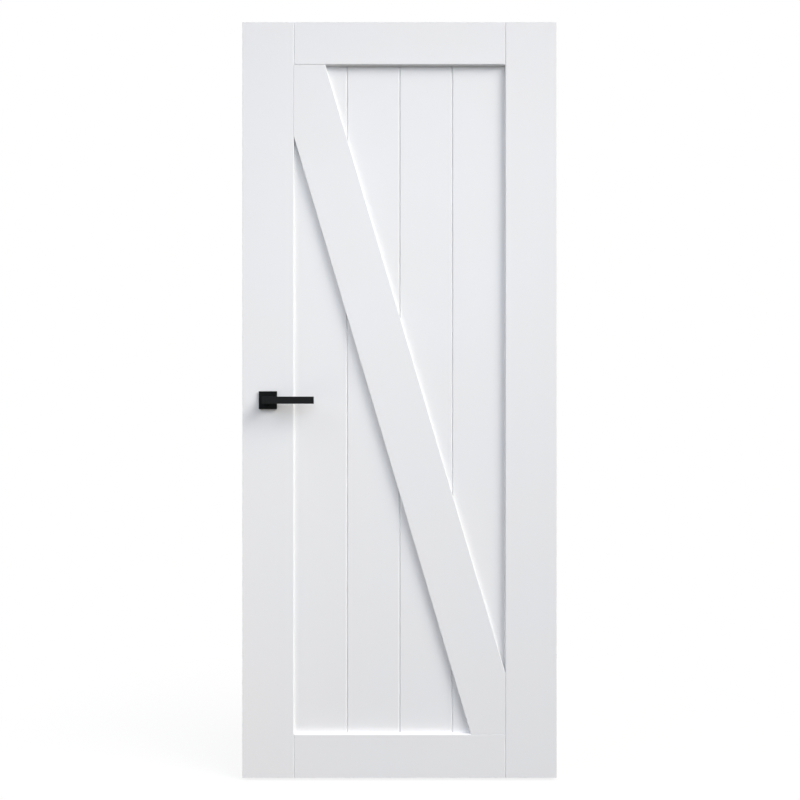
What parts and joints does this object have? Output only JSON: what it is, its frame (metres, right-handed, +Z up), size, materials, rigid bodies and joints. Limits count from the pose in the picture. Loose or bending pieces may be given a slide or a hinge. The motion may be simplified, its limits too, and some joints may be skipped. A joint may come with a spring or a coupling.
{
  "type": "interior door leaf",
  "caption": "White painted interior door leaf: framed board panel with a diagonal brace on each face, mortise latch and black lever handle on square roses.",
  "frame": {"origin": "foot of the leaf's hinge edge, at mid thickness", "axes": "+Z up, +X out of the hinge edge so the leaf lies along -X, +Y out of the back face"},
  "size_m": [0.88, 0.14, 2.115],
  "materials": {
    "white_lacquer": "satin",
    "black_powder_coat": "matte",
    "bearing_plastic": "matte",
    "plated_steel": "satin",
    "brushed_forend": "satin"
  },
  "bodies": {
    "leaf": {"lock_stile": "white_lacquer", "hinge_stile": "white_lacquer", "top_rail": "white_lacquer", "bottom_rail": "white_lacquer", "board_1": "white_lacquer", "board_2": "white_lacquer", "board_3": "white_lacquer", "board_4": "white_lacquer", "front_brace": "white_lacquer", "back_brace": "white_lacquer", "front_rose_plate": "bearing_plastic", "back_rose_plate": "bearing_plastic", "front_rose_cover": "black_powder_coat", "back_rose_cover": "black_powder_coat", "rose_bolt_lock_side": "plated_steel", "rose_bolt_hinge_side": "plated_steel", "lock_case": "plated_steel", "lock_forend": "brushed_forend", "latch_bolt": "brushed_forend"},
    "lever_set": {"front_lever": "black_powder_coat", "back_lever": "black_powder_coat", "spindle": "plated_steel", "lock_follower": "plated_steel"}
  },
  "joints": [
    {"name": "lever_turn", "type": "hinge", "parent": "leaf", "child": "lever_set", "pos_m": [-0.808, 0, 1.057], "axis": [0, 1, 0], "range_deg": [0, 45], "stiffness_Nm_per_rad": 1, "springref_deg": -57.3}
  ]
}
